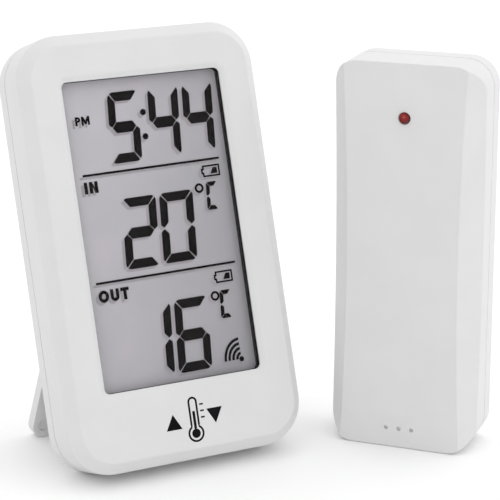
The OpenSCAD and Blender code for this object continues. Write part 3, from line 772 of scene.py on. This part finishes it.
def pictogram():
    """A plain thermometer between an up and a down arrow: the highest and lowest reading."""
    u, low, high, stem, bulb, line = 0.9, 6.5, 14.3, 1.0, 1.9, 0.5
    inner, outer = bulb - line / 2, bulb + line / 2
    neck = math.degrees(math.acos(stem / bulb))
    shapes = arc_band(u, low, bulb, bulb, 180 - neck, 360 + neck, line, 30)
    shapes += arc_band(u, high, stem, stem, 0, 180, line, 16)
    for side in (-1, 1):
        near, far = u + side * (stem - line / 2), u + side * (stem + line / 2)
        shapes.append([(u + side * outer * stem / bulb, low + outer * math.sin(math.radians(neck))),
                       (u + side * inner * stem / bulb, low + inner * math.sin(math.radians(neck))),
                       (near, low + outer), (far, low + outer)])
        shapes.append([(near, low + outer), (far, low + outer), (far, high), (near, high)])
    shapes += [disc(u, low, 1.15), bar_shape(u - 0.35, low + 1.16, u + 0.35, 12)]
    shapes += [bar_shape(u + 1.8, 10 + 1.6 * k, u + 2.8, 10.4 + 1.6 * k) for k in range(3)]
    shapes += [[(-6.8, 8.2), (-2.6, 8.2), (-4.7, 12)], [(4.4, 12), (8.6, 12), (6.5, 8.2)]]
    piece = flat_shapes("max_min_pictogram", shapes, on_face, 0, 0.04, (0, 0), PRINT)
    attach(piece, "console")


# ---- Floor, light and camera ----

SKY_STRENGTH = 1.103
SKY_TILT = (0.173, 0.068, 0.123)   # how much the sky gains towards +X, +Y and up
KEY_AT, KEY_AIM = (0.75, -0.25, 0.8), (0.03, 0, 0.05)
KEY_SIZE, KEY_POWER = 0.8, 0.5
FLOOR_SIZE, FLOOR_DROP = 6, 0.0001


def studio():
    """A pale floor, a sky that is a little brighter on one side, and one soft key light."""
    bpy.ops.mesh.primitive_plane_add(size=FLOOR_SIZE, location=(0, 0, -FLOOR_DROP))
    floor = bpy.context.object
    floor.name = "floor"
    material, tree, shader = new_material("pale_floor")
    clouds = grain(tree, 6, 3)
    shade = between(tree, clouds.outputs["Fac"], (0.93, 0.93, 0.93), (0.95, 0.95, 0.95))
    tree.links.new(shade, shader.inputs["Base Color"])
    shader.inputs["Roughness"].default_value = 0.9
    shader.inputs["Specular IOR Level"].default_value = 0.1
    paint(floor, material)

    world = bpy.data.worlds.new("studio")
    bpy.context.scene.world = world
    world.use_nodes = True
    sky = world.node_tree.nodes["Background"]
    sky.inputs["Color"].default_value = (1, 1, 1, 1)
    tree = world.node_tree
    place = tree.nodes.new("ShaderNodeTexCoord")
    tilt = tree.nodes.new("ShaderNodeVectorMath")
    tilt.operation = "DOT_PRODUCT"
    tilt.inputs[1].default_value = SKY_TILT
    tree.links.new(place.outputs["Generated"], tilt.inputs[0])
    total = calculate(tree, "ADD", tilt.outputs["Value"], SKY_STRENGTH)
    tree.links.new(total, sky.inputs["Strength"])

    data = bpy.data.lights.new("key", "AREA")
    data.size = KEY_SIZE
    data.energy = KEY_POWER
    key = bpy.data.objects.new("key", data)
    key.location = KEY_AT
    aim = Vector(KEY_AIM) - key.location
    key.rotation_euler = aim.to_track_quat("-Z", "Y").to_euler()
    bpy.context.scene.collection.objects.link(key)

    bpy.context.scene.view_settings.view_transform = "Standard"


CAMERA_AT = (-0.1927, -0.4266, 0.1932)
CAMERA_YAW = 26.72
CAMERA_PITCH = 16.58
CAMERA_ROLL = 0.2
CAMERA_LENS = 144


def camera():
    """The photo's viewpoint: in front, to the left and a little above."""
    data = bpy.data.cameras.new("camera")
    data.lens = CAMERA_LENS
    data.sensor_width = 36
    data.clip_start = 0.01
    data.clip_end = 20
    made = bpy.data.objects.new("camera", data)
    bpy.context.scene.collection.objects.link(made)
    turn = (Matrix.Rotation(math.radians(-CAMERA_YAW), 3, "Z")
            @ Matrix.Rotation(math.radians(90 - CAMERA_PITCH), 3, "X")
            @ Matrix.Rotation(math.radians(-CAMERA_ROLL), 3, "Z"))
    made.matrix_world = Matrix.Translation(CAMERA_AT) @ turn.to_4x4()
    bpy.context.scene.camera = made


# ---- Build ----

studio()
camera()
for material, names in NODE_MATERIAL.items():
    for name in names:
        paint(NODES[name], material)
console_front()
sensor_front()
display()
pictogram()
for name, width in EDGE_WIDTHS.items():
    soften(name, width)
